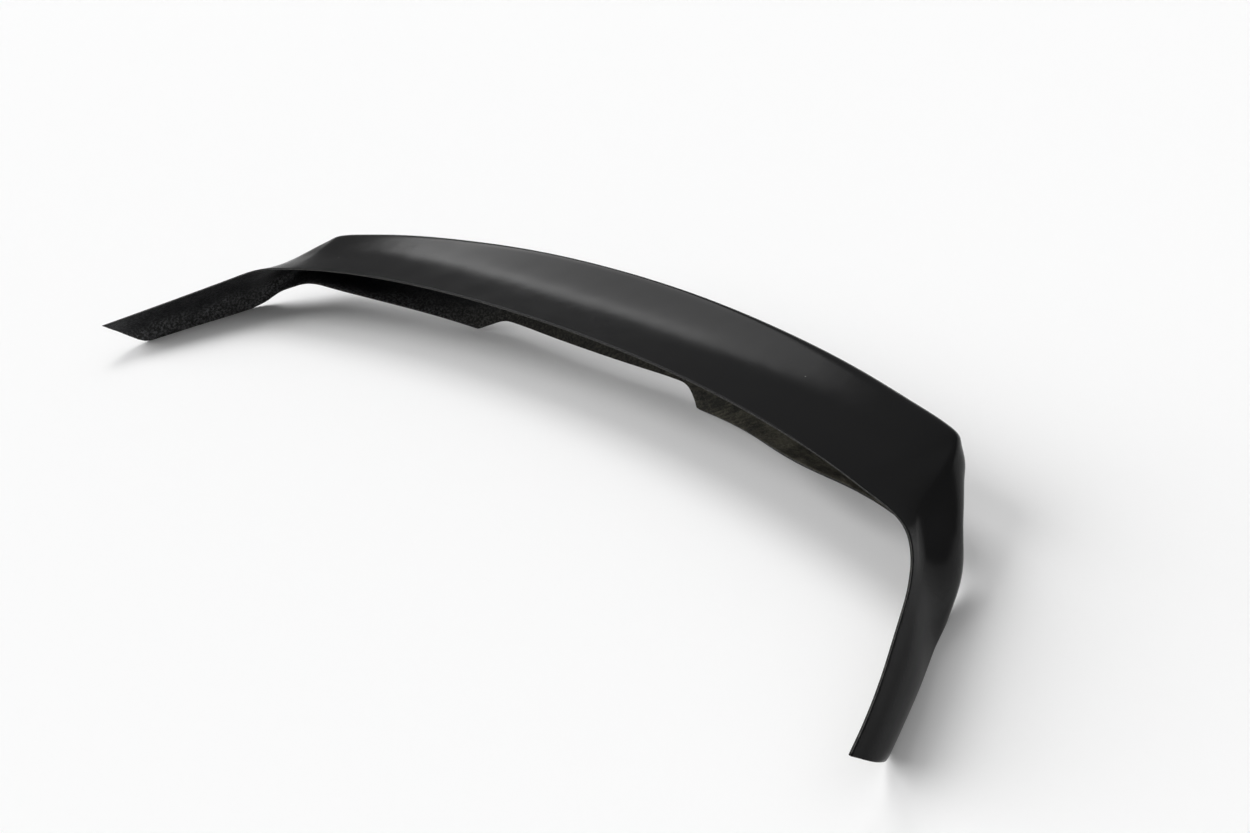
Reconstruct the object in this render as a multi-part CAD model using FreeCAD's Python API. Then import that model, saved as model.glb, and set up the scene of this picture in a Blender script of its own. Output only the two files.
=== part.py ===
"""Rear spoiler: one thin moulded shell, a blade with two legs that run forward beside a rear window.

Frame: millimetres, +X across the car, +Y forward, +Z up. Z = 0 is the surface that the leg edges lie on,
and the origin is under the middle of the part's box. The shell is one wall of even thickness. At each
station along the U its section runs from the front edge over the blade, round the fold and down the skirt
to the lower edge, and smooth strips join the stations.
"""
import math
import os

import FreeCAD, Part
from FreeCAD import Vector

# Overall sizes: width across the feet of the leg tips, length from the trailing edge to the tips
tip_span = 1250.0
overall_length = 474.0
wall = 3.0

# Trailing edge: the fold along the back of the blade, and the crease that runs forward from its ends.
# An inset is measured inward from the tip span, and a set forward from the rearmost point.
trailing_height = 121.0
trailing_end_drop = 27.0
trailing_end_inset = 85.0
trailing_sweep = 95.5
trailing_power = 2.2
fold_radius = 8.0
fold_end_radius = 16.0
corner_set = 12.0
crease_end_inset = 70.0
crease_end_set = 206.0
crease_end_height = 71.5
crease_radius = 24.0

# Front edge of the blade, with the shallow bend along the middle of its chord
blade_chord = 151.0
front_height = 99.5
front_end_inset = 85.0
front_sweep = 90.0
front_power = 2.1
front_end_drop = 17.5
front_drop_power = 5.0
bend_depth = 9.0
bend_end_depth = 3.0

# Inner corner, where the front edge turns into the leg
inner_corner_inset = 72.0
inner_corner_set = 250.0
inner_corner_height = 80.0

# Legs: the upper edge from root to tip, the foot along the lower edge, and the slanted tip
leg_root_inset = 50.5
leg_root_set = 281.0
leg_root_height = 72.0
leg_edge_bow = 5.5
leg_edge_sag = 2.5
heel_inset = 16.5
heel_set = 285.0
foot_bow = 1.0
leg_crown = 2.5
leg_bulge = 5.0
leg_radius = 200.0
tip_height = 51.0
tip_lean = 8.0
tip_slant = 52.0
tip_corner_radius = 30.0

# Lower edge of the blade: arched under the corners, notched in the middle
arch_inset = 193.0
arch_set = 193.0
arch_height = 57.0
lower_edge_set = 78.0
lower_edge_ease = 25.0
lower_edge_crown = 3.0
notch_height = 18.5
notch_top_half_width = 174.0
notch_foot_half_width = 219.0
notch_radius = 60.0

# How far the skirt below the fold bows out at mid height, in the middle and near the ends
skirt_bow = 9.0
skirt_end_bow = 27.0

# The lower edge and the tips are made this much too long, then trimmed
trim = 4.0

# Stations along half of the U, in the blade, the corner and the leg
BAR_STEPS = 8
CORNER_STEPS = 12
LEG_STEPS = 4
# The strips of blade, fold and skirt are cut lengthwise into this many faces
STRIP_CUTS = (2, 4, 4)

# Shares of the half span at which the long edges are set out, and the last one on each before the corner
BAR_SHARES = (0.0, 0.28, 0.56, 0.78)
FRONT_LAST_SHARE = 0.885
FRONT_TURN_SHARE = 0.93
FOLD_LAST_SHARE = 0.91
# Shares at which the lower edge is set out: of the notch, then of the rise to the arch
NOTCH_SHARES = (0.0, 0.4, 0.8)
RISE_SHARES = (0.15, 0.5)
# Shares of the leg at which its edges are set out
LEG_SHARES = (0.33, 0.66, 1.0)
# A point on the way along the crease
CREASE_SHARE = 0.6
# The soft ridge of the leg's outside lies this share of the way down from its upper edge
RIDGE_SHARE = 0.15
# The lower edge's stations lie this much nearer the middle than the trailing edge's
LOWER_SHARE = 0.83
# Shares of the corner at which the fold starts to widen into the crease and the crease into the leg
CREASE_START = 0.1
LEG_START = 0.7
# A rounding takes up at most this share of the blade
ROUNDING_LIMIT = 0.4
# Shares of the way from the arch to the heel: across, forward and down
ARCH_OUTLINE = (
    (0.22, 0.01, 0.04),
    (0.48, 0.01, 0.21),
    (0.71, 0.05, 0.46),
    (0.88, 0.14, 0.69),
    (0.955, 0.34, 0.88),
    (0.98, 0.54, 0.94),
)
# The skirt's middle as it turns the corner, set out from the end of the trailing edge
CORNER_OUTLINE = (
    (-27, 16, -41),
    (-10, 13, -39),
    (4, 17, -39),
    (17, 34, -41),
    (30, 56, -44),
    (41, 79, -48),
    (51, 103, -54),
    (57, 125, -58),
)

rear = -overall_length / 2
front = overall_length / 2
half_width = tip_span / 2
trailing_half_span = half_width - trailing_end_inset
front_half_span = half_width - front_end_inset
arch_half_span = half_width - arch_inset


def ease(share, start, end):
    """A value that eases from start to end as share goes from 0 to 1."""
    share = min(max(share, 0.0), 1.0)
    return start + (end - start) * share * share * (3 - 2 * share)


def mirror(point):
    """The same point on the other side of the car."""
    return Vector(-point.x, point.y, point.z)


def trailing_point(x):
    """A point of the trailing edge."""
    share = x / trailing_half_span
    y = rear + trailing_sweep * share**trailing_power
    return Vector(x, y, trailing_height - trailing_end_drop * share**2)


def front_point(x):
    """A point of the blade's front edge."""
    share = x / front_half_span
    y = rear + blade_chord + front_sweep * share**front_power
    return Vector(x, y, front_height - front_end_drop * share**front_drop_power)


def lower_point(x):
    """A point of the blade's lower edge: level in the middle, then rising to the arch in a slight crown."""
    rise = arch_half_span - notch_foot_half_width
    past = x - notch_foot_half_width
    ramp = (past + math.hypot(past, lower_edge_ease)) / 2 / rise
    y = rear + lower_edge_set + (arch_set - lower_edge_set) * ramp
    z = arch_height * ramp + lower_edge_crown * 4 * ramp * (1 - ramp)
    return Vector(x, y, z - trim / 2)


def skirt_point(x, bow):
    """A point at mid height of the skirt below the trailing edge, bowed out from the straight line."""
    upper = trailing_point(x)
    rib = lower_point(x * LOWER_SHARE) - upper
    out = Vector(0, rib.z, -rib.y).normalize()
    return upper + rib * 0.5 + out * bow


def leg_edge_point(share):
    """A point of the leg's upper edge, from its root to its tip."""
    root = Vector(half_width - leg_root_inset, rear + leg_root_set, leg_root_height)
    tip = Vector(half_width - tip_lean, front + trim, tip_height)
    bow = Vector(leg_edge_bow, 0, -leg_edge_sag)
    return root + (tip - root) * share + bow * (4 * share * (1 - share))


def foot_point(share):
    """A point of the leg's lower edge, before it is trimmed."""
    lean = trim * tip_lean / tip_height
    heel = Vector(half_width - heel_inset + lean, rear + heel_set, -trim)
    tip = Vector(half_width + lean, front - tip_slant + trim, -trim)
    return heel + (tip - heel) * share + Vector(4 * foot_bow * share * (1 - share), 0, 0)


def leg_point(share, down, bulge):
    """A point of the leg's outside, part of the way down from its upper edge."""
    upper = leg_edge_point(share)
    rib = foot_point(share) - upper
    out = (leg_edge_point(1.0) - leg_edge_point(0.0)).cross(rib).normalize()
    return upper + rib * down - out * bulge


def ridge_point(share):
    """A point of the soft ridge near the leg's upper edge."""
    return leg_point(share, RIDGE_SHARE, leg_crown)


def bulge_point(share):
    """A point of the leg's outside half way from the ridge to the foot."""
    return leg_point(share, (1 + RIDGE_SHARE) / 2, leg_crown / 2 + leg_bulge)


def front_rail():
    """Points of the front edge in the blade, corner and leg stretches."""
    bar = [front_point(share * front_half_span) for share in (*BAR_SHARES, FRONT_LAST_SHARE)]
    inner_corner = Vector(half_width - inner_corner_inset, rear + inner_corner_set, inner_corner_height)
    turn = [front_point(FRONT_TURN_SHARE * front_half_span), inner_corner, leg_edge_point(0.0)]
    return bar, turn, [leg_edge_point(share) for share in LEG_SHARES]


def fold_rail():
    """Points of the fold: the trailing edge, its rounded end, the crease and the ridge of the leg."""
    corner = trailing_point(trailing_half_span)
    crease_end = Vector(half_width - crease_end_inset, rear + crease_end_set, crease_end_height)
    crease = crease_end - corner
    before = trailing_point(trailing_half_span - corner_set)
    after = corner + crease * (corner_set / crease.Length)
    rounded = (before + after) * 0.25 + corner * 0.5
    bar = [trailing_point(share * trailing_half_span) for share in (*BAR_SHARES, FOLD_LAST_SHARE)]
    turn = [rounded, after, corner + crease * CREASE_SHARE, crease_end, ridge_point(0.0)]
    return [*bar, before], turn, [ridge_point(share) for share in LEG_SHARES]


def skirt_rail():
    """Points at mid height of the skirt and of the leg's outside."""
    span = trailing_half_span - corner_set
    bar = [skirt_point(share * span, skirt_bow + (skirt_end_bow - skirt_bow) * share) for share in BAR_SHARES]
    outline = [trailing_point(trailing_half_span) + Vector(*offset) for offset in CORNER_OUTLINE]
    return [*bar, outline[0]], [*outline[1:], bulge_point(0.0)], [bulge_point(share) for share in LEG_SHARES]


def lower_rail():
    """Points of the lower edge in the blade, corner and leg stretches."""
    arch = Vector(arch_half_span, rear + arch_set, arch_height)
    way = foot_point(0.0) - arch
    rise = arch_half_span - notch_foot_half_width
    outline = [arch + Vector(way.x * across, way.y * on, way.z * low) for across, on, low in ARCH_OUTLINE]
    level = [lower_point(share * notch_foot_half_width) for share in NOTCH_SHARES]
    rising = [lower_point(notch_foot_half_width + rise * share) for share in RISE_SHARES]
    turn = [*outline[1:], foot_point(0.0)]
    return [*level, *rising, arch, outline[0]], turn, [foot_point(share) for share in LEG_SHARES]


def station_points(rail):
    """Evenly spaced points along one half of a rail, the same number on every rail."""
    bar, turn, leg = rail
    half = [*bar, *turn, *leg]
    curve = Part.BSplineCurve()
    curve.interpolate([mirror(point) for point in half[:0:-1]] + half)
    stops = [curve.parameter(point) for point in (bar[0], bar[-1], turn[-1], leg[-1])]
    points = [bar[0]]
    for first, last, steps in zip(stops, stops[1:], (BAR_STEPS, CORNER_STEPS, LEG_STEPS)):
        points += curve.discretize(Number=steps + 1, First=first, Last=last)[1:]
    return points


def station_form(index):
    """Depth of the blade's bend and radius of the fold at one station."""
    share = index / BAR_STEPS
    if share <= 1:
        return ease(share, bend_depth, bend_end_depth), ease(share, fold_radius, fold_end_radius)
    share = (index - BAR_STEPS) / CORNER_STEPS
    radius = ease((share - CREASE_START) / (LEG_START - CREASE_START), fold_end_radius, crease_radius)
    radius = ease((share - LEG_START) / (1 - LEG_START), radius, leg_radius)
    return ease(share / LEG_START, bend_end_depth, 0.0), radius


class Skin:
    """One station of the outside: its points from front edge to lower edge, and the way along it at each."""

    def __init__(self, front_edge, fold, middle, low_edge, form):
        depth, radius = form
        chord = front_edge - fold
        down = chord.cross(low_edge - fold).cross(chord).normalize()
        bend = (front_edge + fold) * 0.5 + down * depth
        vertex = fold
        end = fold
        # The rounding moves the corner that the bow is worked out from, so it is found in a few turns
        for _ in range(4):
            bow = bow_pole(end, middle, low_edge)
            to_blade = (bend - vertex).normalize()
            to_skirt = (bow - vertex).normalize()
            half_angle = to_blade.getAngle(to_skirt) / 2
            radius = min(radius, ROUNDING_LIMIT * chord.Length * math.tan(half_angle))
            inward = (to_blade + to_skirt).normalize()
            vertex = fold - inward * (radius / math.sin(half_angle) - radius)
            reach = radius / math.tan(half_angle)
            end = vertex + to_skirt * reach
        start = vertex + to_blade * reach
        self.points = [front_edge, bend, start, fold, end, middle, low_edge]
        blade_ways = [bend - front_edge, start - front_edge, -to_blade]
        self.ways = [*blade_ways, end - start, to_skirt, low_edge - end, low_edge - bow]


def bow_pole(end, middle, low_edge):
    """The pole that draws the skirt's edge out to its middle point."""
    return middle * 2 - (end + low_edge) * 0.5


def inner_points(skin, previous, following):
    """The points of a station's outside moved inward by the wall, square to the surface."""
    moved = []
    for point, way, before, after in zip(skin.points, skin.ways, previous.points, following.points):
        inward = (after - before).cross(way).normalize()
        moved.append(point + inward * wall)
    return moved


def section_poles(points, ways):
    """The poles of a station's three smooth edges: the blade, the rounded fold and the skirt."""
    front_edge, bend, start, fold, end, middle, low_edge = points
    way_in = Vector(ways[2]).normalize()
    way_out = Vector(ways[4]).normalize()
    # A cubic edge with handles of this length passes through the fold at its middle
    handle = 8 / 3 * (fold - (start + end) * 0.5).Length / (way_in - way_out).Length
    bow = bow_pole(end, middle, low_edge)
    return [
        [front_edge, bend, bend, start],
        [start, start + way_in * handle, end - way_out * handle, end],
        [end, (end + bow * 2) * (1 / 3), (low_edge + bow * 2) * (1 / 3), low_edge],
    ]


def flatten(points, plane_points):
    """Points dropped onto the plane of a leg's end."""
    origin = plane_points[0]
    normal = (plane_points[-1] - origin).cross(plane_points[-2] - origin).normalize()
    return [point - normal * normal.dot(point - origin) for point in points]


def wall_sections():
    """Poles of the outside and of the inside at each station, and the stations' stops along the U."""
    rails = [station_points(rail) for rail in (front_rail(), fold_rail(), skirt_rail(), lower_rail())]
    half = [(points, station_form(index)) for index, points in enumerate(zip(*rails))]
    mirrored = [([mirror(point) for point in points], form) for points, form in half[:0:-1]]
    skins = [Skin(*points, form) for points, form in mirrored + half]
    last = len(skins) - 1
    outer_sections = []
    inner_sections = []
    stops = [0.0]
    for i, skin in enumerate(skins):
        outer = skin.points
        inner = inner_points(skin, skins[max(i - 1, 0)], skins[min(i + 1, last)])
        if i in (0, last):
            inner = flatten(inner, outer)
            outer = flatten(outer, outer)
        outer_sections.append(section_poles(outer, skin.ways))
        inner_sections.append(section_poles(inner, skin.ways))
        if i:
            steps = [(here - there).Length for here, there in zip(outer, skins[i - 1].points)]
            stops.append(stops[-1] + sum(steps) / len(steps))
    return outer_sections, inner_sections, stops


def smooth_strip(rows, stops, cuts):
    """A smooth surface through rows of poles, in pieces: a list for each stretch of the U."""
    lines = []
    for points in zip(*rows):
        line = Part.BSplineCurve()
        line.interpolate(Points=points, Parameters=stops)
        lines.append(line)
    across = len(lines) - 1
    poles = [line.getPoles() for line in lines]
    ends = [across + 1, across + 1]
    mults = lines[0].getMultiplicities()
    knots = lines[0].getKnots()
    along = lines[0].Degree
    surface = Part.BSplineSurface()
    surface.buildFromPolesMultsKnots(poles, ends, mults, [0.0, 1.0], knots, False, False, across, along)
    blade_start = LEG_STEPS + CORNER_STEPS
    blade_end = blade_start + 2 * BAR_STEPS
    borders = [0, LEG_STEPS, blade_start, blade_end, blade_end + CORNER_STEPS, len(stops) - 1]
    stretches = []
    for first, last in zip(borders, borders[1:]):
        pieces = [surface.copy() for _ in range(cuts)]
        for k, piece in enumerate(pieces):
            piece.segment(k / cuts, (k + 1) / cuts, stops[first], stops[last])
        stretches.append(pieces)
    return stretches


def build_wall():
    """The whole wall, from the tip of one leg to the tip of the other."""
    outer, inner, stops = wall_sections()
    strips = []
    for edge, cuts in enumerate(STRIP_CUTS):
        for sections in (outer, inner):
            strips.append(smooth_strip([section[edge] for section in sections], stops, cuts))
    for edge, end in ((0, 0), (-1, -1)):
        rim = [(outside[edge][end], inside[edge][end]) for outside, inside in zip(outer, inner)]
        strips.append(smooth_strip(rim, stops, 1))
    faces = [piece.toShape() for strip in strips for stretch in strip for piece in stretch]
    for end in (0, -1):
        edges = [piece.vIso(stops[end]).toShape() for strip in strips for piece in strip[end]]
        faces.append(Part.Face(Part.Wire(Part.sortEdges(edges)[0])))
    shell = Part.makeShell(faces)
    shell.sewShape()
    solid = Part.Solid(Part.Shell(shell.Faces))
    if solid.Volume < 0:
        solid.reverse()
    return solid


def trim_block():
    """What is cut away below the surface that the part lies on and ahead of the slanted tips."""
    slant = math.atan2(tip_height, tip_slant)
    reach = tip_corner_radius * math.tan(slant / 2)
    heel = Vector(0, front - tip_slant, 0)
    start = heel - Vector(0, reach, 0)
    end = heel + Vector(0, math.cos(slant), math.sin(slant)) * reach
    out = Vector(0, math.sin(slant / 2), -math.cos(slant / 2))
    middle = start + (Vector(0, 0, 1) + out) * tip_corner_radius
    above = end + Vector(0, tip_slant, tip_height) * 2
    behind = Vector(0, 2 * rear, 0)
    below = Vector(0, 0, -tip_height)
    outline = [above, Vector(0, above.y, 0) + below, behind + below, behind, start]
    rounding = Part.Arc(start, middle, end).toShape()
    edges = [*Part.makePolygon(outline).Edges, rounding, Part.LineSegment(end, above).toShape()]
    block = Part.Face(Part.Wire(edges)).extrude(Vector(2 * tip_span, 0, 0))
    return block.translated(Vector(-tip_span, 0, 0))


def notch_block():
    """The notch in the middle of the lower edge, with slanted sides and rounded upper corners."""
    slope = (notch_foot_half_width - notch_top_half_width) / notch_height
    foot = notch_foot_half_width + slope * trim
    right = [Vector(foot, rear, -trim), Vector(notch_top_half_width, rear, notch_height)]
    outline = [*right, *[mirror(corner) for corner in right[::-1]], right[0]]
    block = Part.Face(Part.makePolygon(outline)).extrude(Vector(0, blade_chord, 0))
    top = [edge for edge in block.Edges if all(vertex.Z > 0 for vertex in edge.Vertexes)]
    corners = [edge for edge in top if edge.BoundBox.XLength < notch_top_half_width]
    return block.makeFillet(notch_radius, corners)


os.makedirs("parts", exist_ok=True)
shell = build_wall().cut(trim_block()).cut(notch_block()).Solids[0]
box = shell.optimalBoundingBox()
shell.translate(Vector(0, -box.Center.y, 0))
shell.exportStep("parts/spoiler_shell.step")
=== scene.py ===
"""Rear spoiler: the finished surfaces of the moulded shell, with its floor, light and camera."""
import math

import bpy
import numpy as np
from mathutils import Matrix, Vector, noise


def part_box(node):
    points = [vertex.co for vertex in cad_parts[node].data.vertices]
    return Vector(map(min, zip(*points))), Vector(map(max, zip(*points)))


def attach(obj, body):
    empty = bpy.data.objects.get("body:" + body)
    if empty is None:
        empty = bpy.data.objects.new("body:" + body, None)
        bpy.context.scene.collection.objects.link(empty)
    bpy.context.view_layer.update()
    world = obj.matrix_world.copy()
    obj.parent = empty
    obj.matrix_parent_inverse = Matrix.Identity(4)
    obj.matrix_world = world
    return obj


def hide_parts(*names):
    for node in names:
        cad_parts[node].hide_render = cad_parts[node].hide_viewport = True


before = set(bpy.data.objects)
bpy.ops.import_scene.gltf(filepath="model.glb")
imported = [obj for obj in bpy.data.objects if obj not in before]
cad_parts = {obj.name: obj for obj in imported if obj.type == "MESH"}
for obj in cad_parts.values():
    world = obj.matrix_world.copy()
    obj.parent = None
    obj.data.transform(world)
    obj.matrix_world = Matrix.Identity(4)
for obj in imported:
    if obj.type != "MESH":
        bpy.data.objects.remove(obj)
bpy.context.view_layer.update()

# The frame is in metres. The sizes that shape the shell are in millimetres, and as far as the trim they are
# the same as the solid's.
MM = 0.001

# Overall sizes: width across the feet of the leg tips, length from the trailing edge to the tips
tip_span = 1250.0
overall_length = 474.0
wall = 3.0

# Trailing edge: the fold along the back of the blade, and the crease that runs forward from its ends.
# An inset is measured inward from the tip span, and a set forward from the rearmost point.
trailing_height = 121.0
trailing_end_drop = 27.0
trailing_end_inset = 85.0
trailing_sweep = 95.5
trailing_power = 2.2
fold_radius = 8.0
fold_end_radius = 16.0
corner_set = 12.0
crease_end_inset = 70.0
crease_end_set = 206.0
crease_end_height = 71.5
crease_radius = 24.0

# Front edge of the blade, with the shallow bend along the middle of its chord
blade_chord = 151.0
front_height = 99.5
front_end_inset = 85.0
front_sweep = 90.0
front_power = 2.1
front_end_drop = 17.5
front_drop_power = 5.0
bend_depth = 9.0
bend_end_depth = 3.0

# Inner corner, where the front edge turns into the leg
inner_corner_inset = 72.0
inner_corner_set = 250.0
inner_corner_height = 80.0

# Legs: the upper edge from root to tip, the foot along the lower edge, and the slanted tip
leg_root_inset = 50.5
leg_root_set = 281.0
leg_root_height = 72.0
leg_edge_bow = 5.5
leg_edge_sag = 2.5
heel_inset = 16.5
heel_set = 285.0
foot_bow = 1.0
leg_crown = 2.5
leg_bulge = 5.0
leg_radius = 200.0
tip_height = 51.0
tip_lean = 8.0
tip_slant = 52.0
tip_corner_radius = 30.0

# Lower edge of the blade: arched under the corners, notched in the middle
arch_inset = 193.0
arch_set = 193.0
arch_height = 57.0
lower_edge_set = 78.0
lower_edge_ease = 25.0
lower_edge_crown = 3.0
notch_height = 18.5
notch_top_half_width = 174.0
notch_foot_half_width = 219.0
notch_radius = 60.0

# How far the skirt below the fold bows out at mid height, in the middle and near the ends
skirt_bow = 9.0
skirt_end_bow = 27.0

# The lower edge and the tips are made this much too long, then trimmed
trim = 4.0

# Stations along half of the U, in the blade, the corner and the leg. The solid has fewer.
BAR_STEPS = 24
CORNER_STEPS = 36
LEG_STEPS = 8

# Shares of the half span at which the long edges are set out, and the last one on each before the corner
BAR_SHARES = (0.0, 0.28, 0.56, 0.78)
FRONT_LAST_SHARE = 0.885
FRONT_TURN_SHARE = 0.93
FOLD_LAST_SHARE = 0.91
# Shares at which the lower edge is set out: of the notch, then of the rise to the arch
NOTCH_SHARES = (0.0, 0.4, 0.8)
RISE_SHARES = (0.15, 0.5)
# Shares of the leg at which its edges are set out
LEG_SHARES = (0.33, 0.66, 1.0)
# A point on the way along the crease
CREASE_SHARE = 0.6
# The soft ridge of the leg's outside lies this share of the way down from its upper edge
RIDGE_SHARE = 0.15
# The lower edge's stations lie this much nearer the middle than the trailing edge's
LOWER_SHARE = 0.83
# Shares of the corner at which the fold starts to widen into the crease and the crease into the leg
CREASE_START = 0.1
LEG_START = 0.7
# A rounding takes up at most this share of the blade
ROUNDING_LIMIT = 0.4
# Shares of the way from the arch to the heel: across, forward and down. The last three ease the heel
# a little more than the solid's do.
ARCH_OUTLINE = (
    (0.22, 0.01, 0.04),
    (0.48, 0.01, 0.21),
    (0.71, 0.05, 0.46),
    (0.875, 0.14, 0.68),
    (0.935, 0.34, 0.85),
    (0.968, 0.58, 0.93),
)
# The skirt's middle as it turns the corner, set out from the end of the trailing edge
CORNER_OUTLINE = (
    (-27, 16, -41),
    (-10, 13, -39),
    (4, 17, -39),
    (17, 34, -41),
    (30, 56, -44),
    (41, 79, -48),
    (51, 103, -54),
    (57, 125, -58),
)

rear = -overall_length / 2
front = overall_length / 2
half_width = tip_span / 2
trailing_half_span = half_width - trailing_end_inset
front_half_span = half_width - front_end_inset
arch_half_span = half_width - arch_inset

# The way down a skin: 0 at the front edge, then where the blade, the fold and the skirt end
BLADE_END = 1
FOLD_END = 2
SKIRT_END = 3

# Fineness of the finished mesh: columns along the U, and rows down the blade, the fold and the skirt
COLUMNS = 560
BLADE_ROWS = 30
FOLD_ROWS = 8
SKIRT_ROWS = 30

# Samples for measuring along a rail, and down a skin where its trimmed edge is sought
RAIL_SAMPLES = 2000
UPPER_SAMPLES = 41
SKIRT_SAMPLES = 241
# Turns in which a fold's rounding or a tip's place settles
SETTLING_TURNS = 4
# A point this far past the tip's plane, or past the trimmed outline, still counts as kept
TIP_SLACK = 0.02
EDGE_SLACK = 1e-6
# The least distance past the outline that is divided by
LEAST_GAP = 1e-9

# Rounding of the cut edges, and how far a quarter round's middle lies in from its corner
edge_rounding = 0.7
ROUND_SHARE = 0.29

# Relief of the hand-laid inside: its depth, the width over which it fades out at the edges, and its layers,
# each with the size of its lumps, a shift of its pattern and its share
relief_depth = 0.55
relief_fade = 10.0
RELIEF_LAYERS = (
    (46.0, (0, 0, 0), 0.9),
    (13.0, (7, 3, 1), 0.6),
    (5.5, (1, 9, 4), 0.35),
)

# Turns a point into the same point on the other side of the car
MIRROR = (-1, 1, 1)

# The mesh's material slots, in the order in which they are filled
OUTSIDE = 0
INSIDE = 1
CUT_EDGE = 2

# From here on lengths are in metres and patterns are per metre. A bump is a strength and a depth.
# Gelcoat: colours, finish, clouds, specks of dust, waves and grain
GELCOAT = (0.0078, 0.0078, 0.0081, 1)
GELCOAT_CLOUD = (0.0102, 0.0102, 0.0105, 1)
DUST = (0.12, 0.12, 0.115, 1)
GELCOAT_ROUGHNESS = (0.16, 0.2)
GELCOAT_SPECULAR = 0.04
CLOUD_SCALE = 9.0
GLOSS_SCALE = 30.0
GLOSS_RANGE = (0.3, 0.7)
DUST_SCALE = 19.0
DUST_RANGE = (0.011, 0.017)
WAVE_SCALE = 14.0
WAVE_BUMP = (0.12, 0.004)
GRAIN_SCALE = 700.0
GRAIN_BUMP = (0.06, 0.0004)

# Laminate: its zones across the car and under the blade, from where each starts to where it is full.
# Left is -X.
LEFT_ZONE = (-0.1, -0.24)
RIGHT_ZONE = (0.1, 0.3)
# Painted light: in the left corner zone the mat is made paler where the blade shades it
PAINTED_LIGHT_CORNER_ZONE = (-0.3, -0.4)
# Painted light: under the blade the resin is made paler where the blade shades it
PAINTED_LIGHT_UNDER_BLADE_ZONE = (0.03, -0.05)
# The bare band above the lower edge: its height elsewhere and on the left, its ragged edge and its blur
BAND_HEIGHTS = (0.03, 0.062)
BAND_SCALE = 26.0
BAND_RANGE = (0.2, 0.8)
BAND_RAGGED = (-0.022, 0.022)
BAND_BLUR = (-0.012, 0.012)
# The black resin, cloudy, and paler under the blade with painted light that lifts the blade's shade
RESIN = (0.006, 0.0063, 0.0072, 1)
RESIN_CLOUD = (0.012, 0.0124, 0.0134, 1)
RESIN_PAINTED_LIGHT_UNDER_BLADE = (0.028, 0.0285, 0.029, 1)
PAINTED_LIGHT_UNDER_BLADE_SHARE = 0.6
# The bare mat in the middle, on the right and on the left, with its streak, blotches and a corner paler by
# painted light
MAT_MIDDLE = (0.015, 0.0146, 0.0116, 1)
MAT_RIGHT = (0.019, 0.0196, 0.0205, 1)
MAT_LEFT = (0.02, 0.0186, 0.0132, 1)
MAT_STREAK = (0.075, 0.07, 0.052, 1)
STREAK_RISE = (0.014, 0.03)
# Painted light that lifts the shaded bare mat in the left corner
MAT_PAINTED_LIGHT_CORNER = (0.085, 0.08, 0.062, 1)
MAT_BLOTCH = (0.008, 0.008, 0.0072, 1)
BLOTCH_SCALE = 36.0
BLOTCH_RANGE = (0.4, 0.6)
BLOTCH_SHARE = 0.8
# The diagonal weave, and its share elsewhere and on the left
WEAVE = (0.08, 0.075, 0.056, 1)
WEAVE_SCALE = 62.0
WEAVE_DISTORTION = 4.0
WEAVE_RANGE = (0.25, 0.75)
WEAVE_SHARES = (0.12, 0.5)
# The pale strands of glass, and what each zone, the blotches and the resin leave of them
GLASS = (0.14, 0.133, 0.104, 1)
GLASS_RIGHT = (0.16, 0.163, 0.168, 1)
STRAND_SCALE = 265.0
STRAND_RANGE = (0.45, 0.63)
STRAND_SHARES_RIGHT = (0.2, 0.62)
STRAND_SHARES_LEFT = (0.0, 0.18)
STRAND_SHARES_BLOTCH = (1.0, 0.3)
STRAND_SHARES_BARE = (0.15, 1.0)
# Finish of the laminate, from resin to mat, and its bumps
LAMINATE_ROUGHNESS = (0.42, 0.75)
LAMINATE_SPECULAR = 0.2
LUMP_SCALE = 130.0
LUMP_BUMP = (0.5, 0.002)
STRAND_BUMP = (0.5, 0.0008)

# Trimmed edge: dark resin with paler ends of glass
EDGE_RESIN = (0.018, 0.018, 0.0175, 1)
EDGE_GLASS = (0.07, 0.069, 0.064, 1)
FIBRE_SCALE = 380.0
FIBRE_RANGE = (0.4, 0.7)
EDGE_ROUGHNESS = (0.5, 0.75)
EDGE_SPECULAR = 0.2
FIBRE_BUMP = (0.4, 0.0004)

# Floor: half its width, and its white
FLOOR_REACH = 40.0
FLOOR_WHITE = (0.93, 0.93, 0.93, 1)

# Lights: two lamps behind the blade that the deck mirrors, one round and one a tilted strip, and a broad
# light from the far side. A turn is from +X towards +Y and a rise is above the floor. These, the tilt and
# the lamps' spreads are in degrees. The strip stands a little nearer than the reach that it is sized for.
LAMP_REACH = 40.0
BACK_LAMP_TURN = -32.0
BACK_LAMP_RISE = 45.0
BACK_LAMP_SPREAD = 30.0
BACK_LAMP_RADIANCE = 4.9
STRIP_TURN = -35.0
STRIP_RISE = 37.0
STRIP_TILT = -28.0
STRIP_LENGTH = 20.0
STRIP_BREADTH = 5.0
STRIP_NEARER = 0.97
STRIP_RADIANCE = 3.1
BROAD_LIGHT_TURN = 30.0
BROAD_LIGHT_RISE = 27.0
BROAD_LIGHT_SPREAD = 50.0
BROAD_LIGHT_ENERGY = 2.9

# Room: a bright patch overhead and behind, a fainter one on the near side, and pale walls low down. A range
# is the cosine of the angle to a patch's middle, from where the patch fades out to where it is full, and for
# the walls the sine of the rise over which they end. A light is the brightness at either end of the range.
OVERHEAD_SIDE = (0.09, -0.49, 0.87)
OVERHEAD_RANGE = (0.42, 0.96)
OVERHEAD_LIGHT = (0.06, 0.6)
NEAR_SIDE = (-0.77, 0.63, 0.2)
NEAR_RANGE = (0.1, 0.6)
NEAR_LIGHT = (0.0, 0.25)
WALL_RANGE = (0.12, 0.2)
WALL_LIGHT = (0.95, 0.0)

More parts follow.
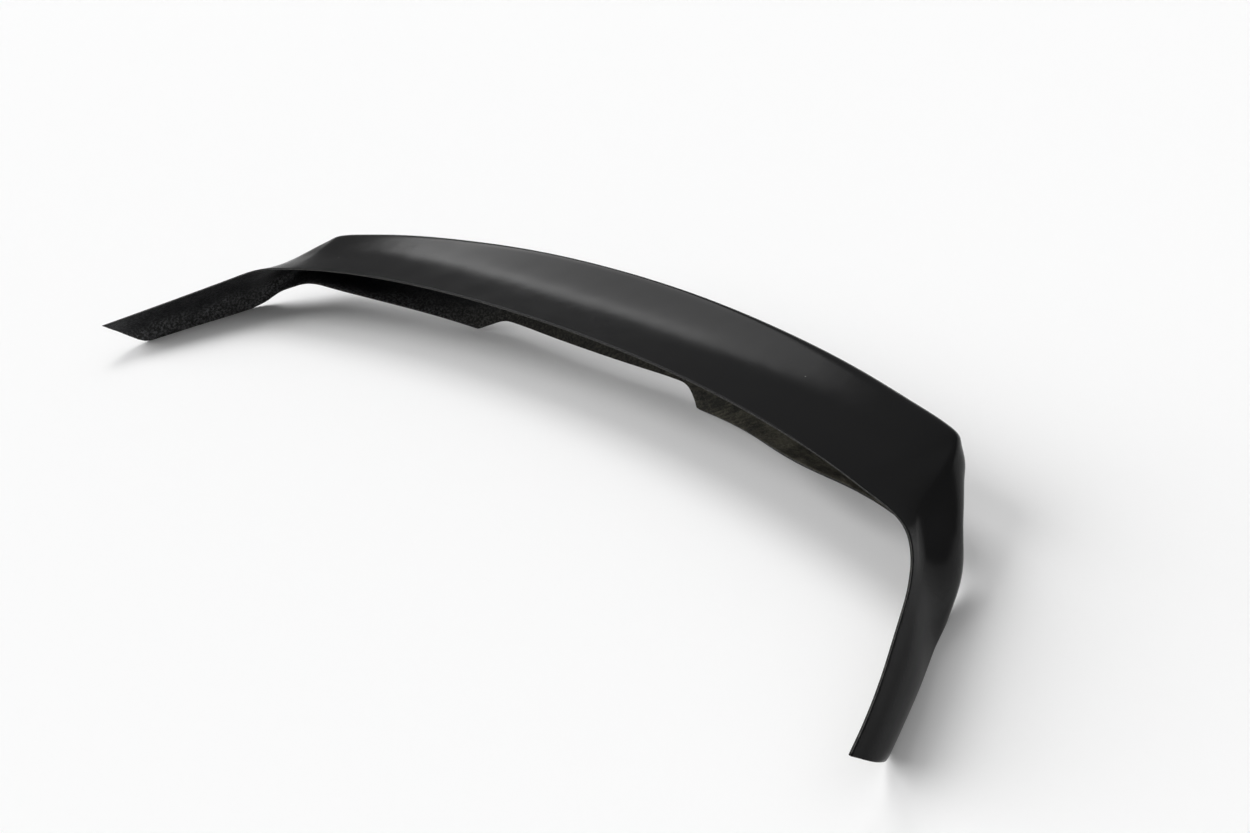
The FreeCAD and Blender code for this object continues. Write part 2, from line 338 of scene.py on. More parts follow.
# Camera: where it stands, the way it looks, its roll in degrees, and its sensor and lens in millimetres
CAMERA_PLACE = (-0.75666, 0.61944, 0.56547)
CAMERA_WAY = (0.56281, -0.64455, -0.51750)
CAMERA_ROLL = -2.81
CAMERA_SENSOR = 36.0
CAMERA_LENS = 24.48


def unit(vector):
    """The vector at length 1."""
    return vector / np.linalg.norm(vector)


def point(x, y, z):
    """A point as an array."""
    return np.array((x, y, z), float)


def ease(share, start, end):
    """A value that eases from start to end as share goes from 0 to 1."""
    share = min(max(share, 0.0), 1.0)
    return start + (end - start) * share * share * (3 - 2 * share)


def run_along(points, axis=0):
    """The length run along lines of points, from zero at the first of each line."""
    steps = np.linalg.norm(np.diff(points, axis=axis), axis=-1)
    return np.insert(np.cumsum(steps, axis=axis), 0, 0.0, axis=axis)


class Spline:
    """A smooth curve through values at given stops."""

    def __init__(self, stops, values):
        self.stops = np.asarray(stops, float)
        self.values = np.asarray(values, float).reshape(len(stops), -1)
        gaps = np.diff(self.stops)
        count = len(stops)
        system = np.eye(count)
        target = np.zeros_like(self.values)
        for end, four in ((0, range(4)), (count - 1, range(count - 4, count))):
            target[end] = self.end_slope(end, list(four))
        for i in range(1, count - 1):
            before = 1 / gaps[i - 1]
            after = 1 / gaps[i]
            system[i, i - 1:i + 2] = before, 2 * (before + after), after
            rise = (self.values[i] - self.values[i - 1]) * before**2
            target[i] = 3 * (rise + (self.values[i + 1] - self.values[i]) * after**2)
        self.slopes = np.linalg.solve(system, target)

    def end_slope(self, end, four):
        """The slope at an end of the cubic through the four values there."""
        scale = self.stops[four[-1]] - self.stops[four[0]]
        powers = np.vander((self.stops[four] - self.stops[end]) / scale, 4)
        return np.linalg.solve(powers, self.values[four])[2] / scale

    def __call__(self, at):
        at = np.asarray(at, float)
        i = np.clip(np.searchsorted(self.stops, at, side="right") - 1, 0, len(self.stops) - 2)
        gap = (self.stops[i + 1] - self.stops[i])[:, None]
        s = (at - self.stops[i])[:, None] / gap
        low = self.values[i]
        rise = (self.values[i + 1] - low) * s * s * (3 - 2 * s)
        low_slope = self.slopes[i] * gap
        high_slope = self.slopes[i + 1] * gap
        return low + rise + low_slope * s * (1 - s) ** 2 - high_slope * s * s * (1 - s)


def trailing_point(x):
    """A point of the trailing edge."""
    share = x / trailing_half_span
    y = rear + trailing_sweep * share**trailing_power
    return point(x, y, trailing_height - trailing_end_drop * share**2)


def front_point(x):
    """A point of the blade's front edge."""
    share = x / front_half_span
    y = rear + blade_chord + front_sweep * share**front_power
    return point(x, y, front_height - front_end_drop * share**front_drop_power)


def lower_point(x):
    """A point of the blade's lower edge: level in the middle, then rising to the arch in a slight crown."""
    rise = arch_half_span - notch_foot_half_width
    past = x - notch_foot_half_width
    ramp = (past + math.hypot(past, lower_edge_ease)) / 2 / rise
    y = rear + lower_edge_set + (arch_set - lower_edge_set) * ramp
    z = arch_height * ramp + lower_edge_crown * 4 * ramp * (1 - ramp)
    return point(x, y, z - trim / 2)


def skirt_point(x, bow):
    """A point at mid height of the skirt below the trailing edge, bowed out from the straight line."""
    upper = trailing_point(x)
    rib = lower_point(x * LOWER_SHARE) - upper
    return upper + rib * 0.5 + unit(point(0, rib[2], -rib[1])) * bow


def leg_edge_point(share):
    """A point of the leg's upper edge, from its root to its tip."""
    root = point(half_width - leg_root_inset, rear + leg_root_set, leg_root_height)
    tip = point(half_width - tip_lean, front + trim, tip_height)
    bow = point(leg_edge_bow, 0, -leg_edge_sag)
    return root + (tip - root) * share + bow * (4 * share * (1 - share))


def foot_point(share):
    """A point of the leg's lower edge, before it is trimmed."""
    lean = trim * tip_lean / tip_height
    heel = point(half_width - heel_inset + lean, rear + heel_set, -trim)
    tip = point(half_width + lean, front - tip_slant + trim, -trim)
    return heel + (tip - heel) * share + point(4 * foot_bow * share * (1 - share), 0, 0)


def leg_point(share, down, bulge):
    """A point of the leg's outside, part of the way down from its upper edge."""
    upper = leg_edge_point(share)
    rib = foot_point(share) - upper
    out = unit(np.cross(rib, leg_edge_point(1.0) - leg_edge_point(0.0)))
    return upper + rib * down + out * math.copysign(bulge, out[0])


def ridge_point(share):
    """A point of the soft ridge near the leg's upper edge."""
    return leg_point(share, RIDGE_SHARE, leg_crown)


def bulge_point(share):
    """A point of the leg's outside half way from the ridge to the foot."""
    return leg_point(share, (1 + RIDGE_SHARE) / 2, leg_crown / 2 + leg_bulge)


def front_rail():
    """Points of the front edge in the blade, corner and leg stretches."""
    bar = [front_point(share * front_half_span) for share in (*BAR_SHARES, FRONT_LAST_SHARE)]
    inner_corner = point(half_width - inner_corner_inset, rear + inner_corner_set, inner_corner_height)
    turn = [front_point(FRONT_TURN_SHARE * front_half_span), inner_corner, leg_edge_point(0.0)]
    return bar, turn, [leg_edge_point(share) for share in LEG_SHARES]


def fold_rail():
    """Points of the fold: the trailing edge, its rounded end, the crease and the ridge of the leg."""
    corner = trailing_point(trailing_half_span)
    crease_end = point(half_width - crease_end_inset, rear + crease_end_set, crease_end_height)
    crease = crease_end - corner
    before = trailing_point(trailing_half_span - corner_set)
    after = corner + unit(crease) * corner_set
    rounded = (before + after) * 0.25 + corner * 0.5
    bar = [trailing_point(share * trailing_half_span) for share in (*BAR_SHARES, FOLD_LAST_SHARE)]
    turn = [rounded, after, corner + crease * CREASE_SHARE, crease_end, ridge_point(0.0)]
    return [*bar, before], turn, [ridge_point(share) for share in LEG_SHARES]


def skirt_rail():
    """Points at mid height of the skirt and of the leg's outside."""
    span = trailing_half_span - corner_set
    bows = [skirt_bow + (skirt_end_bow - skirt_bow) * share for share in BAR_SHARES]
    bar = [skirt_point(share * span, bow) for share, bow in zip(BAR_SHARES, bows)]
    outline = [trailing_point(trailing_half_span) + point(*offset) for offset in CORNER_OUTLINE]
    leg = [bulge_point(share) for share in LEG_SHARES]
    return [*bar, outline[0]], [*outline[1:], bulge_point(0.0)], leg


def lower_rail():
    """Points of the lower edge in the blade, corner and leg stretches."""
    arch = point(arch_half_span, rear + arch_set, arch_height)
    way = foot_point(0.0) - arch
    rise = arch_half_span - notch_foot_half_width
    outline = [arch + way * shares for shares in ARCH_OUTLINE]
    level = [lower_point(share * notch_foot_half_width) for share in NOTCH_SHARES]
    rising = [lower_point(notch_foot_half_width + rise * share) for share in RISE_SHARES]
    turn = [*outline[1:], foot_point(0.0)]
    return [*level, *rising, arch, outline[0]], turn, [foot_point(share) for share in LEG_SHARES]


def station_points(rail):
    """Evenly spaced points along one half of a rail, the same number on every rail."""
    bar, turn, leg = rail
    half = np.array([*bar, *turn, *leg])
    whole = np.concatenate([half[:0:-1] * MIRROR, half])
    stops = run_along(whole)
    curve = Spline(stops, whole)
    middle = len(half) - 1
    ends = [middle, middle + len(bar) - 1, middle + len(bar) + len(turn) - 1, len(whole) - 1]
    points = [bar[0]]
    for first, last, steps in zip(ends, ends[1:], (BAR_STEPS, CORNER_STEPS, LEG_STEPS)):
        fine = np.linspace(stops[first], stops[last], RAIL_SAMPLES)
        run = run_along(curve(fine))
        even = np.linspace(0, run[-1], steps + 1)[1:]
        points += list(curve(np.interp(even, run, fine)))
    return points


def station_form(index):
    """Depth of the blade's bend and radius of the fold at one station."""
    share = index / BAR_STEPS
    if share <= 1:
        return ease(share, bend_depth, bend_end_depth), ease(share, fold_radius, fold_end_radius)
    share = (index - BAR_STEPS) / CORNER_STEPS
    radius = ease((share - CREASE_START) / (LEG_START - CREASE_START), fold_end_radius, crease_radius)
    radius = ease((share - LEG_START) / (1 - LEG_START), radius, leg_radius)
    return ease(share / LEG_START, bend_end_depth, 0.0), radius


def bow_pole(end, middle, low_edge):
    """The pole that draws the skirt's edge out to its middle point."""
    return middle * 2 - (end + low_edge) / 2


def section(front_edge, fold, middle, low_edge, form):
    """The points of one station's outside, and the way along the section at each."""
    depth, radius = form
    chord = front_edge - fold
    down = unit(np.cross(np.cross(chord, low_edge - fold), chord))
    bend = (front_edge + fold) / 2 + down * depth
    vertex = fold
    end = fold
    # The rounding moves the corner that the bow is worked out from, so it is found in a few turns
    for _ in range(SETTLING_TURNS):
        bow = bow_pole(end, middle, low_edge)
        to_blade = unit(bend - vertex)
        to_skirt = unit(bow - vertex)
        half_angle = math.acos(np.dot(to_blade, to_skirt)) / 2
        radius = min(radius, ROUNDING_LIMIT * np.linalg.norm(chord) * math.tan(half_angle))
        vertex = fold - unit(to_blade + to_skirt) * (radius / math.sin(half_angle) - radius)
        reach = radius / math.tan(half_angle)
        end = vertex + to_skirt * reach
    start = vertex + to_blade * reach
    points = np.array([front_edge, bend, start, fold, end, middle, low_edge])
    blade_ways = [bend - front_edge, start - front_edge, -to_blade]
    ways = np.array([*blade_ways, end - start, to_skirt, low_edge - end, low_edge - bow])
    return points, ways


def skin_poles(points, ways):
    """The poles of the three smooth edges of one skin: the blade, the rounded fold and the skirt."""
    front_edge, bend, start, fold, end, middle, low_edge = points
    way_in = unit(ways[2])
    way_out = unit(ways[4])
    # A cubic's middle lies 3/8 of the sum of its two handles away from the middle of its chord
    handle = 8 / 3 * np.linalg.norm(fold - (start + end) / 2) / np.linalg.norm(way_in - way_out)
    bow = bow_pole(end, middle, low_edge)
    blade = [front_edge, bend, bend, start]
    turn = [start + way_in * handle, end - way_out * handle, end]
    return np.array([*blade, *turn, (end + bow * 2) / 3, (low_edge + bow * 2) / 3, low_edge])


def flatten(points, plane_points):
    """Points dropped onto the plane of a leg's end."""
    origin = plane_points[0]
    normal = unit(np.cross(plane_points[-1] - origin, plane_points[-2] - origin))
    return points - np.outer((points - origin) @ normal, normal)


def build_skins():
    """The outside and the inside as splines of poles along the U, and the length of the U."""
    rails = [station_points(rail()) for rail in (front_rail, fold_rail, skirt_rail, lower_rail)]
    half = [(np.array(points), station_form(i)) for i, points in enumerate(zip(*rails))]
    mirrored = [(points * MIRROR, form) for points, form in half[:0:-1]]
    sections = [section(*points, form) for points, form in mirrored + half]
    last = len(sections) - 1
    outer = []
    inner = []
    stops = [0.0]
    for i, (points, ways) in enumerate(sections):
        along = sections[min(i + 1, last)][0] - sections[max(i - 1, 0)][0]
        normals = np.cross(along, ways)
        moved = points + wall * normals / np.linalg.norm(normals, axis=1)[:, None]
        flat = points
        if i in (0, last):
            moved = flatten(moved, points)
            flat = flatten(points, points)
        outer.append(skin_poles(flat, ways))
        inner.append(skin_poles(moved, ways))
        if i:
            stops.append(stops[-1] + np.linalg.norm(flat - sections[i - 1][0], axis=1).mean())
    return Spline(stops, outer), Spline(stops, inner), stops[-1]


def surface(skin, along, down):
    """Points of a skin at places along the U and down the section."""
    poles = skin(along.ravel()).reshape(along.size, -1, 3)
    strip = np.clip(down.ravel().astype(int), 0, SKIRT_END - 1)
    s = (down.ravel() - strip)[:, None]
    weights = ((1 - s) ** 3, 3 * s * (1 - s) ** 2, 3 * s * s * (1 - s), s**3)
    row = np.arange(along.size)
    points = sum(weight * poles[row, strip * 3 + k] for k, weight in enumerate(weights))
    return points.reshape(*along.shape, 3)


def notch_top(x):
    """Height of the notch at a distance from the middle, with its upper corners rounded."""
    slant = math.atan2(notch_height, notch_foot_half_width - notch_top_half_width)
    side = np.clip((notch_foot_half_width - x) * math.tan(slant), 0.0, notch_height)
    start = notch_top_half_width - notch_radius * math.tan(slant / 2)
    end = start + notch_radius * math.sin(slant)
    into = np.clip(x - start, 0.0, notch_radius)
    rounded = notch_height - notch_radius + np.sqrt(notch_radius**2 - into**2)
    return np.where((x > start) & (x < end), rounded, side)


def past_tip(points):
    """How far points lie past the slanted plane of the leg tips."""
    forward = points[..., 1] - front + tip_slant
    return (forward * tip_height - points[..., 2] * tip_slant) / math.hypot(tip_slant, tip_height)


def kept(points):
    """How far points lie inside the trimmed outline, below zero where the wall is cut away."""
    x, y, z = np.moveaxis(points, -1, 0)
    above = z - np.where(y < 0, notch_top(np.abs(x)), 0.0)
    slope = math.atan2(tip_height, tip_slant)
    side = y - (front - tip_slant - tip_corner_radius * math.tan(slope / 2))
    rise = z - tip_corner_radius
    in_corner = (side > 0) & (rise * math.sin(slope) + side * math.cos(slope) < 0)
    rounded = tip_corner_radius - np.hypot(side, rise)
    straight = np.minimum(above, TIP_SLACK - past_tip(points))
    return np.where(in_corner, rounded + TIP_SLACK, straight)


def tip_stop(skin, along, down, step):
    """Where lines along the U meet the slanted tip plane, from a first guess and a step towards the tip."""
    for _ in range(SETTLING_TURNS):
        here = past_tip(surface(skin, along, down))
        ahead = past_tip(surface(skin, along + step, down))
        along = along - step * here / (ahead - here)
    return along


def lower_stop(inside, fine):
    """How far down each column meets the trimmed lower edge."""
    outside = inside < 0
    cut = np.where(outside.any(axis=1), np.argmax(outside, axis=1), fine.size - 1)
    row = np.arange(COLUMNS)
    above = inside[row, cut - 1]
    below = np.minimum(inside[row, cut], -LEAST_GAP)
    share = np.clip(above / (above - below), 0, 1)
    return fine[cut - 1] + (fine[cut] - fine[cut - 1]) * share


def skin_grid(skin, length):
    """A grid of points over one skin, trimmed at the lower edge and the tips."""
    upper = np.linspace(0, FOLD_END, UPPER_SAMPLES)
    fine = np.concatenate([upper, np.linspace(FOLD_END, SKIRT_END, SKIRT_SAMPLES)[1:]])
    first = tip_stop(skin, np.full(fine.size, trim), fine, -1.0)
    last = tip_stop(skin, np.full(fine.size, length - trim), fine, 1.0)
    share = np.linspace(0, 1, COLUMNS)[:, None]

    def points_at(down):
        start = np.interp(down, fine, first)
        stop = np.interp(down, fine, last)
        return surface(skin, start + (stop - start) * share, down)

    every = np.broadcast_to(fine, (COLUMNS, fine.size))
    low = lower_stop(kept(points_at(every)) + EDGE_SLACK, fine)
    blade = np.linspace(0, BLADE_END, BLADE_ROWS, endpoint=False)
    fold = np.linspace(BLADE_END, FOLD_END, FOLD_ROWS, endpoint=False)
    skirt = np.linspace(0, 1, SKIRT_ROWS) * (low[:, None] - FOLD_END) + FOLD_END
    rows = np.broadcast_to(np.concatenate([blade, fold]), (COLUMNS, BLADE_ROWS + FOLD_ROWS))
    return points_at(np.concatenate([rows, skirt], axis=1))


def step_towards(start, target, distance):
    """Points moved from start towards target."""
    way = target - start
    return start + way * (distance / np.linalg.norm(way, axis=-1)[..., None])


def round_corner(corner, beside, across):
    """Three lines of points that round a corner between a skin and the cut edge."""
    back = step_towards(corner, beside, edge_rounding)
    into = step_towards(corner, across, edge_rounding)
    middle = corner + ((back - corner) + (into - corner)) * ROUND_SHARE
    return [into, middle, back]


def round_edges(skin, other):
    """A skin's grid with its front and lower edges rounded towards the other skin, and a row behind each."""
    edges = []
    for edge, beside in ((0, 1), (-1, -2)):
        corner = skin[:, edge]
        guard = step_towards(corner, skin[:, beside], 2 * edge_rounding)
        edges.append([*round_corner(corner, skin[:, beside], other[:, edge]), guard])
    top, bottom = edges
    return np.stack([*top, *np.moveaxis(skin[:, 1:-1], 1, 0), *bottom[::-1]], axis=1)


def round_tips(skin, other):
    """A skin's grid with the two tip ends rounded towards the other skin."""
    first, last = [round_corner(skin[end], skin[beside], other[end]) for end, beside in ((0, 1), (-1, -2))]
    return np.stack([*first, *skin[1:-1], *last[::-1]])


def mat_relief(spot):
    """Height of the glass mat's relief at a point, before it is scaled."""
    place = Vector(spot)
    return sum(share * noise.noise(place / size + Vector(shift)) for size, shift, share in RELIEF_LAYERS)


def roughen(grid):
    """The inside with the relief of its glass mat, fading out at the edges."""
    normals = np.cross(np.gradient(grid, axis=0), np.gradient(grid, axis=1))
    normals = normals / np.linalg.norm(normals, axis=-1)[..., None]
    run = run_along(grid, axis=1)
    fade = np.clip(np.minimum(run, run[:, -1:] - run) / relief_fade, 0, 1)
    relief = np.array([[mat_relief(spot) for spot in column] for column in grid])
    return grid + normals * (relief * fade * relief_depth)[..., None]


def shell_grids():
    """The points of the outside and of the rough inside, with rounded edges."""
    outer_skin, inner_skin, length = build_skins()
    outer = skin_grid(outer_skin, length)
    inner = skin_grid(inner_skin, length)
    outer, inner = round_edges(outer, inner), round_edges(inner, outer)
    outer, inner = round_tips(outer, inner), round_tips(inner, outer)
    return outer, roughen(inner)


def quads(first, second):
    """Faces between two matching lines of point numbers."""
    return [(a, b, d, c) for a, b, c, d in zip(first, first[1:], second, second[1:])]


def shell_faces(columns, rows):
    """The faces of the closed shell as point numbers, and the material slot of each face."""
    outside = np.arange(columns * rows).reshape(columns, rows)
    inside = outside + outside.size
    faces = []
    kinds = []

    def add(some, turn, kind):
        faces.extend(face[::turn] for face in some)
        kinds.extend([kind] * len(some))

    for i in range(columns - 1):
        add(quads(outside[i], outside[i + 1]), 1, OUTSIDE)
        add(quads(inside[i], inside[i + 1]), -1, INSIDE)
    for edge, turn in ((0, -1), (-1, 1)):
        add(quads(outside[:, edge], inside[:, edge]), turn, CUT_EDGE)
        add(quads(outside[edge], inside[edge]), -turn, CUT_EDGE)
    return faces, kinds


def add_flat_map(mesh, grids):
    """A map of the skins laid flat, in metres: along the U and up from the lower edge."""
    flat = []
    for grid in grids:
        up = run_along(grid[:, ::-1], axis=1)[:, ::-1]
        along = np.broadcast_to(run_along(grid).mean(axis=1)[:, None], up.shape)
        flat.append(np.stack([along, up], axis=-1).reshape(-1, 2))
    corners = np.empty(len(mesh.loops), int)
    mesh.loops.foreach_get("vertex_index", corners)
    layer = mesh.uv_layers.new(name="flat")
    layer.data.foreach_set("uv", (np.concatenate(flat)[corners] * MM).ravel())


def shell_mesh():
    """The whole shell as one closed mesh: gelcoat outside, laminate inside, cut edges between them."""
    outer, inner = shell_grids()
    faces, kinds = shell_faces(*outer.shape[:2])
    points = np.concatenate([outer.reshape(-1, 3), inner.reshape(-1, 3)])
    low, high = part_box("spoiler_shell")
    middle = (low[1] + high[1]) / 2 / MM
    points[:, 1] += middle - (points[:, 1].min() + points[:, 1].max()) / 2
    mesh = bpy.data.meshes.new("spoiler_moulding")
    mesh.from_pydata((points * MM).tolist(), [], np.array(faces).tolist())
    mesh.polygons.foreach_set("material_index", kinds)
    mesh.polygons.foreach_set("use_smooth", [True] * len(faces))
    add_flat_map(mesh, (outer, inner))
    mesh.validate()
    return mesh


class Nodes:
    """A short way to lay out the nodes of a material or a world."""

    def __init__(self, owner):
        owner.use_nodes = True
        self.owner = owner
        self.tree = owner.node_tree
        self.shader = self.tree.nodes.get("Principled BSDF") or self.tree.nodes["Background"]

    def add(self, kind, settings=None, **inputs):
        """A node with its settings, and its inputs set or linked by name."""
        made = self.tree.nodes.new("ShaderNode" + kind)
        for key, value in (settings or {}).items():
            setattr(made, key, value)
        for key, value in inputs.items():
            self.set(made, key, value)
        return made

    def set(self, made, key, value):
        """One input, by name or number, linked to another node's output or set to a value."""
        socket = made.inputs[key]
        if isinstance(value, bpy.types.NodeSocket):
            self.tree.links.new(value, socket)
        else:
            socket.default_value = value

    def shade(self, **inputs):
        """The owner, with its shader's inputs set by name. An underscore stands for a space."""
        for key, value in inputs.items():
            self.set(self.shader, key.replace("_", " "), value)
        return self.owner

    def noise(self, place, scale, detail=4.0, roughness=0.55):
        """A noise value between 0 and 1."""
        made = self.add("TexNoise", Vector=place, Scale=scale, Detail=detail, Roughness=roughness)
        return made.outputs["Fac"]

    def ramp(self, value, given, wanted=(0.0, 1.0)):
        """A value spread from the given range to the wanted one and held there."""
        made = self.add("MapRange")
        for key, number in enumerate((value, *given, *wanted)):
            self.set(made, key, number)
        return made.outputs[0]

    def share(self, value, shares):
        """A share that goes from the first to the second as the value goes from 0 to 1."""
        return self.ramp(value, (0.0, 1.0), shares)

    def math(self, operation, first, second):
        """Two values put together."""
        made = self.add("Math", {"operation": operation})
        self.set(made, 0, first)
        self.set(made, 1, second)
        return made.outputs[0]

    def mix(self, factor, first, second):
        """Two colours mixed. The node keeps its colour sockets at 6 and 7, and their mix at 2."""
        made = self.add("Mix", {"data_type": "RGBA"})
        for key, value in ((0, factor), (6, first), (7, second)):
            self.set(made, key, value)
        return made.outputs[2]

    def bump(self, height, strength, depth, normal=None):
        """A bump from a height, on top of another one if that is given."""
        made = self.add("Bump", Height=height, Strength=strength, Distance=depth)
        if normal is not None:
            self.set(made, "Normal", normal)
        return made.outputs[0]


def gelcoat_material():
    """Satin black gelcoat: slightly cloudy, faintly waved, with fine grain and a few specks of dust."""
    n = Nodes(bpy.data.materials.new("satin_black_gelcoat"))
    place = n.add("TexCoord").outputs["Object"]
    to_speck = n.add("TexVoronoi", Vector=place, Scale=DUST_SCALE).outputs["Distance"]
    speck = n.ramp(to_speck, DUST_RANGE, (1.0, 0.0))
    colour = n.mix(n.noise(place, CLOUD_SCALE), GELCOAT, GELCOAT_CLOUD)
    wave = n.bump(n.noise(place, WAVE_SCALE, detail=2.0), *WAVE_BUMP)
    return n.shade(
        Base_Color=n.mix(speck, colour, DUST),
        Roughness=n.ramp(n.noise(place, GLOSS_SCALE), GLOSS_RANGE, GELCOAT_ROUGHNESS),
        Specular_IOR_Level=GELCOAT_SPECULAR,
        Normal=n.bump(n.noise(place, GRAIN_SCALE, detail=2.0), *GRAIN_BUMP, normal=wave),
    )


class Laminate(Nodes):
    """The unpainted inside: black resin above, and bare glass mat with pale strands near the lower edge."""

    def __init__(self):
        super().__init__(bpy.data.materials.new("rough_laminate"))
        self.place = self.add("TexCoord").outputs["Object"]
        self.flat = self.add("UVMap", {"uv_map": "flat"}).outputs[0]
        self.rise = self.add("SeparateXYZ", Vector=self.flat).outputs["Y"]
        spot = self.add("SeparateXYZ", Vector=self.place).outputs
        self.left = self.ramp(spot["X"], LEFT_ZONE)
        self.right = self.ramp(spot["X"], RIGHT_ZONE)
        # Painted light: how far the mat in the left corner is lifted against the blade's shade
        self.corner = self.ramp(spot["X"], PAINTED_LIGHT_CORNER_ZONE)
        # Painted light: how far the resin under the blade is lifted against the blade's shade
        self.painted_light_under_blade = self.ramp(spot["Y"], PAINTED_LIGHT_UNDER_BLADE_ZONE, (0.0, PAINTED_LIGHT_UNDER_BLADE_SHARE))
        ragged = self.noise(self.place, BAND_SCALE, detail=5.0, roughness=0.6)
        self.ragged = self.ramp(ragged, BAND_RANGE, BAND_RAGGED)
        band = self.math("ADD", self.ragged, self.share(self.left, BAND_HEIGHTS))
        self.bare = self.ramp(self.math("SUBTRACT", self.rise, band), BAND_BLUR, (1.0, 0.0))
        blotch = self.noise(self.place, BLOTCH_SCALE, roughness=0.6)
        self.blotch = self.ramp(blotch, BLOTCH_RANGE)
        strand = self.noise(self.place, STRAND_SCALE, detail=3.0, roughness=0.7)
        self.strand = self.ramp(strand, STRAND_RANGE)

    def resin_colour(self):
        """Black resin, cloudy, with painted light making it paler where the blade shades it."""
        resin = self.mix(self.blotch, RESIN, RESIN_CLOUD)
        # Painted light: the resin made paler under the blade, where it lies in shade
        return self.mix(self.painted_light_under_blade, resin, RESIN_PAINTED_LIGHT_UNDER_BLADE)

    def weave(self):
        """Share of the diagonal weave that shows through."""
        pattern = {"bands_direction": "DIAGONAL"}
        inputs = {"Scale": WEAVE_SCALE, "Distortion": WEAVE_DISTORTION, "Detail": 2.0}
        wave = self.add("TexWave", pattern, Vector=self.flat, **inputs).outputs["Fac"]
        return self.math("MULTIPLY", self.ramp(wave, WEAVE_RANGE), self.share(self.left, WEAVE_SHARES))

    def mat_colour(self):
        """Bare mat by zones, with a pale streak on the left, painted light in the left corner, the weave and
        dark blotches.
        """
        above = self.ramp(self.math("ADD", self.rise, self.ragged), STREAK_RISE)
        mat = self.mix(self.right, MAT_MIDDLE, MAT_RIGHT)
        mat = self.mix(self.left, mat, MAT_LEFT)
        mat = self.mix(self.math("MULTIPLY", self.left, above), mat, MAT_STREAK)
        # Painted light: the mat in the left corner made paler against the blade's shade
        mat = self.mix(self.corner, mat, MAT_PAINTED_LIGHT_CORNER)
        mat = self.mix(self.weave(), mat, WEAVE)
        return self.mix(self.math("MULTIPLY", self.blotch, BLOTCH_SHARE), mat, MAT_BLOTCH)

    def pale_strands(self):
        """Share of the pale strands: most on the right, few in the left's blotches and in the resin."""
        by_right = self.share(self.right, STRAND_SHARES_RIGHT)
        by_zone = self.math("ADD", by_right, self.share(self.left, STRAND_SHARES_LEFT))
        clear = self.share(self.math("MULTIPLY", self.blotch, self.left), STRAND_SHARES_BLOTCH)
        seen = self.math("MULTIPLY", by_zone, self.share(self.bare, STRAND_SHARES_BARE))
        return self.math("MULTIPLY", self.math("MULTIPLY", self.strand, clear), seen)


def laminate_material():
    """The material of the inside."""
    n = Laminate()
    colour = n.mix(n.bare, n.resin_colour(), n.mat_colour())
    lumps = n.noise(n.place, LUMP_SCALE, detail=5.0, roughness=0.65)
    return n.shade(
        Base_Color=n.mix(n.pale_strands(), colour, n.mix(n.right, GLASS, GLASS_RIGHT)),
        Roughness=n.share(n.bare, LAMINATE_ROUGHNESS),
        Specular_IOR_Level=LAMINATE_SPECULAR,
        Normal=n.bump(n.strand, *STRAND_BUMP, normal=n.bump(lumps, *LUMP_BUMP)),
    )


def cut_edge_material():
    """Trimmed edge of the laminate: dark resin with paler glass ends."""
    n = Nodes(bpy.data.materials.new("trimmed_edge"))
    place = n.add("TexCoord").outputs["Object"]
    fibre = n.ramp(n.noise(place, FIBRE_SCALE, detail=3.0), FIBRE_RANGE)
    return n.shade(
        Base_Color=n.mix(fibre, EDGE_RESIN, EDGE_GLASS),
        Roughness=n.share(fibre, EDGE_ROUGHNESS),
        Specular_IOR_Level=EDGE_SPECULAR,
        Normal=n.bump(fibre, *FIBRE_BUMP),
    )


def build_spoiler():
    """The finished shell in place of the plain solid."""
    mesh = shell_mesh()
    for material in (gelcoat_material(), laminate_material(), cut_edge_material()):
        mesh.materials.append(material)
    piece = bpy.data.objects.new("spoiler_moulding", mesh)
    bpy.context.collection.objects.link(piece)
    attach(piece, "root")
    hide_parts("spoiler_shell")


def build_floor():
    """A plain white floor that keeps the part's shadow."""
    mesh = bpy.data.meshes.new("floor")
    corners = [(FLOOR_REACH * x, FLOOR_REACH * y, 0) for x, y in ((-1, -1), (1, -1), (1, 1), (-1, 1))]
    mesh.from_pydata(corners, [], [(0, 1, 2, 3)])
    white = Nodes(bpy.data.materials.new("white_floor"))
    mesh.materials.append(white.shade(Base_Color=FLOOR_WHITE, Specular_IOR_Level=0.0))
    floor = bpy.data.objects.new("floor", mesh)
    bpy.context.collection.objects.link(floor)


def build_world():
    """The room: the brightest of the patch overhead, the patch on the near side and the walls."""
    n = Nodes(bpy.data.worlds.new("room"))
    way = n.add("TexCoord").outputs["Generated"]

    def patch(side, given, light):
        toward = n.add("VectorMath", {"operation": "DOT_PRODUCT"})
        n.set(toward, 0, way)
        n.set(toward, 1, Vector(side).normalized())
        return n.ramp(toward.outputs["Value"], given, light)

    overhead = patch(OVERHEAD_SIDE, OVERHEAD_RANGE, OVERHEAD_LIGHT)
    near = patch(NEAR_SIDE, NEAR_RANGE, NEAR_LIGHT)
    walls = patch((0, 0, 1), WALL_RANGE, WALL_LIGHT)
    brightest = n.math("MAXIMUM", walls, n.math("MAXIMUM", overhead, near))
    bpy.context.scene.world = n.shade(Color=(1, 1, 1, 1), Strength=brightest)


def heading(turn, rise):
    """The way to a light, from its turn about the upright axis and its rise, in degrees."""
    turn, rise = math.radians(turn), math.radians(rise)
    return Vector((math.cos(turn) * math.cos(rise), math.sin(turn) * math.cos(rise), math.sin(rise)))


